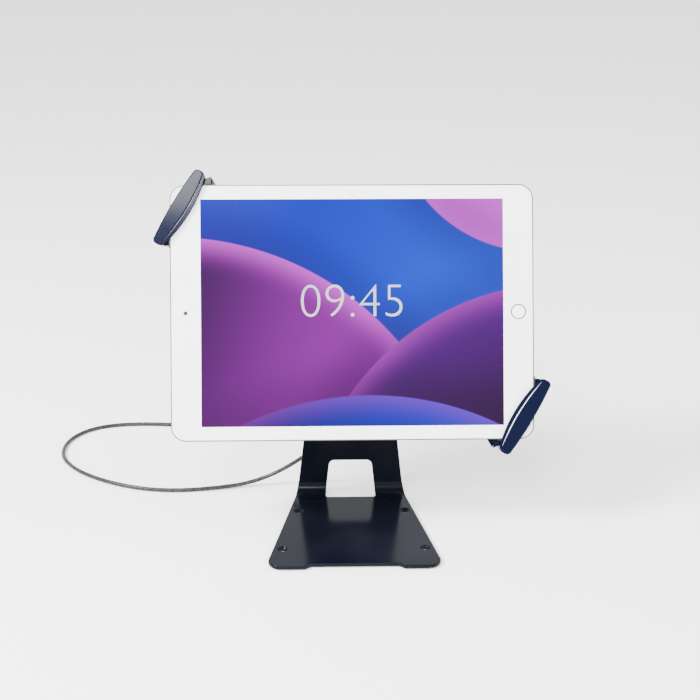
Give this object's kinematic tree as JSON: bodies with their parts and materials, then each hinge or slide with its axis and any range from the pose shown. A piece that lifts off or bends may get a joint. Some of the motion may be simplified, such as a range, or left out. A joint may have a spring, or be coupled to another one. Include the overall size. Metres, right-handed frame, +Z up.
{
  "type": "tablet security kiosk stand",
  "caption": "Folded steel counter stand with a tilting, turning two-jaw corner clamp that holds a tablet, and a keyed steel security cable.",
  "frame": {"origin": "on the counter, under the middle of the base's length and width", "axes": "+Z up, -Y towards the user, +X to the user's right"},
  "size_m": [0.3663, 0.2934, 0.2504],
  "materials": {
    "black_steel": "gloss powder coat",
    "rubber": "matte",
    "zinc_fastener": "zinc plated",
    "friction_nylon": "natural nylon",
    "dark_casting": "satin powder coat",
    "gear_steel": "ground",
    "lock_chrome": "satin nickel",
    "key_brass": "satin",
    "steel_cable": "stranded under clear coat",
    "crimp_metal": "crimped",
    "tablet_metal": "fine blasted",
    "tablet_glass": "gloss",
    "tablet_screen": "lit display",
    "tablet_inner": "plain",
    "lens_glass": "gloss"
  },
  "bodies": {
    "stand": {"stand_frame": "black_steel", "base_mat": "rubber", "tilt_bracket": "black_steel", "bracket_screws": "zinc_fastener", "tilt_bolt": "zinc_fastener", "tilt_nut": "zinc_fastener", "friction_washers": "friction_nylon", "cable_lock_barrel": "lock_chrome", "cable_collar": "black_steel", "cable_relief": "rubber", "security_cable": "steel_cable", "cable_coil": "steel_cable", "cable_tail": "steel_cable", "cable_ferrule": "crimp_metal", "cable_eye": "steel_cable"},
    "tilt_head": {"tilt_head": "black_steel", "swivel_ring": "black_steel", "ring_screws": "zinc_fastener"},
    "grip": {"swivel_disc": "dark_casting", "disc_screws": "zinc_fastener", "grip_body": "dark_casting", "grip_cover": "dark_casting", "cover_screws": "zinc_fastener", "back_pads": "rubber", "pinion_axle": "zinc_fastener", "lock_barrel": "lock_chrome", "tablet_shell": "tablet_metal", "tablet_glass": "tablet_glass", "tablet_screen": "tablet_screen", "tablet_battery": "tablet_inner", "tablet_board": "tablet_inner", "tablet_front_lens": "lens_glass", "tablet_rear_lens": "lens_glass"},
    "pinion": {"pinion": "gear_steel"},
    "jaw_upper": {"rack_upper": "gear_steel", "jaw_upper": "black_steel", "jaw_screws_upper": "zinc_fastener", "lip_pad_upper": "rubber", "edge_pads_upper": "rubber"},
    "jaw_lower": {"rack_lower": "gear_steel", "jaw_lower": "black_steel", "jaw_screws_lower": "zinc_fastener", "lip_pad_lower": "rubber", "edge_pads_lower": "rubber"},
    "lock_core": {"lock_core": "key_brass", "lock_cam": "gear_steel"},
    "lock_bolt": {"lock_bolt": "gear_steel"},
    "cable_lock_core": {"cable_lock_core": "key_brass", "cable_lock_bar": "lock_chrome"},
    "home_key": {"home_key": "tablet_glass"},
    "volume_up_key": {"volume_up_key": "tablet_metal"},
    "volume_down_key": {"volume_down_key": "tablet_metal"},
    "power_key": {"power_key": "tablet_metal"}
  },
  "joints": [
    {"name": "head_tilt", "type": "hinge", "parent": "stand", "child": "tilt_head", "pos_m": [0, 0.05405, 0.1443], "axis": [-1, 0, 0], "range_deg": [-5, 30]},
    {"name": "grip_spin", "type": "hinge", "parent": "tilt_head", "child": "grip", "pos_m": [0, 0.01937, 0.15692], "axis": [0, -0.9397, 0.342], "continuous": true},
    {"name": "jaw_open", "type": "slide", "parent": "grip", "child": "jaw_upper", "axis": [-0.8563, 0.1767, 0.4854], "range_m": [0, 0.02513]},
    {"name": "jaw_lower_slide", "type": "slide", "parent": "grip", "child": "jaw_lower", "axis": [0.8563, -0.1767, -0.4854], "range_m": [0, 0.02513]},
    {"name": "pinion_turn", "type": "hinge", "parent": "grip", "child": "pinion", "pos_m": [0, 0.01937, 0.15692], "axis": [0, 0.9397, -0.342], "range_deg": [0, 180]},
    {"name": "grip_lock_turn", "type": "hinge", "parent": "grip", "child": "lock_core", "pos_m": [-0.03497, 0.02659, 0.17674], "axis": [0, -0.9397, 0.342], "range_deg": [0, 90]},
    {"name": "lock_bolt_slide", "type": "slide", "parent": "grip", "child": "lock_bolt", "axis": [-0.5165, -0.2929, -0.8046], "range_m": [0, 0.0024]},
    {"name": "cable_lock_turn", "type": "hinge", "parent": "stand", "child": "cable_lock_core", "pos_m": [0.008, 0.05875, 0.064], "axis": [0, 1, 0], "range_deg": [0, 90]},
    {"name": "home_press", "type": "slide", "parent": "grip", "child": "home_key", "axis": [0, 0.9397, -0.342], "range_m": [0, 0.0004], "stiffness_N_per_m": 1500, "springref_m": -0.0003},
    {"name": "volume_up_press", "type": "slide", "parent": "grip", "child": "volume_up_key", "axis": [0, -0.342, -0.9397], "range_m": [0, 0.0003], "stiffness_N_per_m": 1500, "springref_m": -0.0003},
    {"name": "volume_down_press", "type": "slide", "parent": "grip", "child": "volume_down_key", "axis": [0, -0.342, -0.9397], "range_m": [0, 0.0003], "stiffness_N_per_m": 1500, "springref_m": -0.0003},
    {"name": "power_press", "type": "slide", "parent": "grip", "child": "power_key", "axis": [1, 0, 0], "range_m": [0, 0.0003], "stiffness_N_per_m": 1500, "springref_m": -0.0003}
  ],
  "couplings": [
    {"joint": "jaw_lower_slide", "follows": "jaw_open", "ratio": 1},
    {"joint": "pinion_turn", "follows": "jaw_open", "rad_per_m": 125},
    {"joint": "lock_bolt_slide", "follows": "grip_lock_turn", "m_per_rad": 0.0013505}
  ]
}
